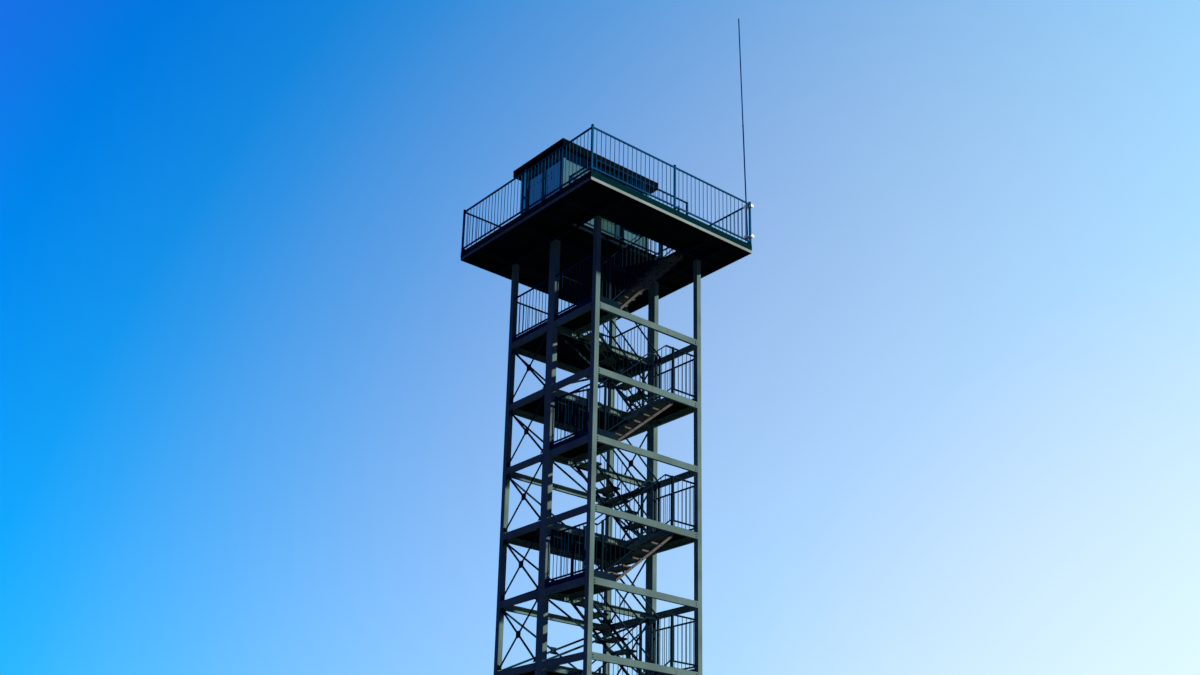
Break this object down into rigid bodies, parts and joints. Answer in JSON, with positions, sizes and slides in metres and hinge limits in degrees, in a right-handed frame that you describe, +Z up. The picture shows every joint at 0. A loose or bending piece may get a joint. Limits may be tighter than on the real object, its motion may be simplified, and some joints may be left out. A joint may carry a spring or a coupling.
{
  "type": "fire lookout tower",
  "caption": "Steel fire lookout tower: square braced frame with zigzag stairs and landings inside, railed overhanging deck, glazed cabin with flat roof and whip antenna.",
  "frame": {"origin": "ground level at the plan centre of the square frame, level with the undersides of the base plates", "axes": "+X runs along the front that carries the outer stair flights, from the frame's left to its right; +Y from the front to the back; +Z up"},
  "size_m": [4.61, 4.655, 21.294],
  "materials": {
    "frame_paint": "semi-matt grey-green paint",
    "brace_paint": "semi-matt dark green paint",
    "rail_paint": "semi-matt dark teal paint",
    "floor_paint": "matt dark grey-green paint",
    "tread_steel": "worn light grey-green paint",
    "cabin_panel": "painted boards, pale grey-green",
    "door_paint": "painted wood, yellow-green",
    "roof_boards": "dark stained boards under felt",
    "window_glass": "clear blue-tinted",
    "antenna_sleeve": "white glass-fibre sleeve",
    "clamp_metal": "bare cast"
  },
  "bodies": {
    "root": {"corner_columns": "frame_paint", "middle_columns": "frame_paint", "base_plates": "frame_paint", "front_beams": "frame_paint", "back_beams": "frame_paint", "side_beams": "frame_paint", "cross_beams": "frame_paint", "landing_edge_beams": "frame_paint", "landings": "floor_paint", "back_platforms": "floor_paint", "landing_kick_plates": "frame_paint", "left_bracing": "brace_paint", "right_bracing": "brace_paint", "back_bracing": "brace_paint", "middle_bracing": "brace_paint", "front_stringers": "frame_paint", "back_stringers": "frame_paint", "top_stringers": "frame_paint", "stair_treads": "tread_steel", "landing_railings": "rail_paint", "front_flight_railings": "rail_paint", "back_flight_railings": "rail_paint", "well_handrails": "rail_paint", "top_flight_railings": "rail_paint", "platform_railings": "rail_paint", "deck_main_beams": "frame_paint", "deck_joists": "frame_paint", "deck_long_edges": "frame_paint", "deck_side_edges": "frame_paint", "deck_plates": "floor_paint", "front_railing": "rail_paint", "back_railing": "rail_paint", "left_railing": "rail_paint", "right_railing": "rail_paint", "opening_guard": "rail_paint", "cabin_left_wall": "cabin_panel", "cabin_right_wall": "cabin_panel", "cabin_back_wall": "cabin_panel", "cabin_front_wall": "cabin_panel", "cabin_door": "door_paint", "window_glass": "window_glass", "cabin_roof": "roof_boards", "antenna": "antenna_sleeve", "antenna_clamps": "clamp_metal"}
  },
  "joints": []
}
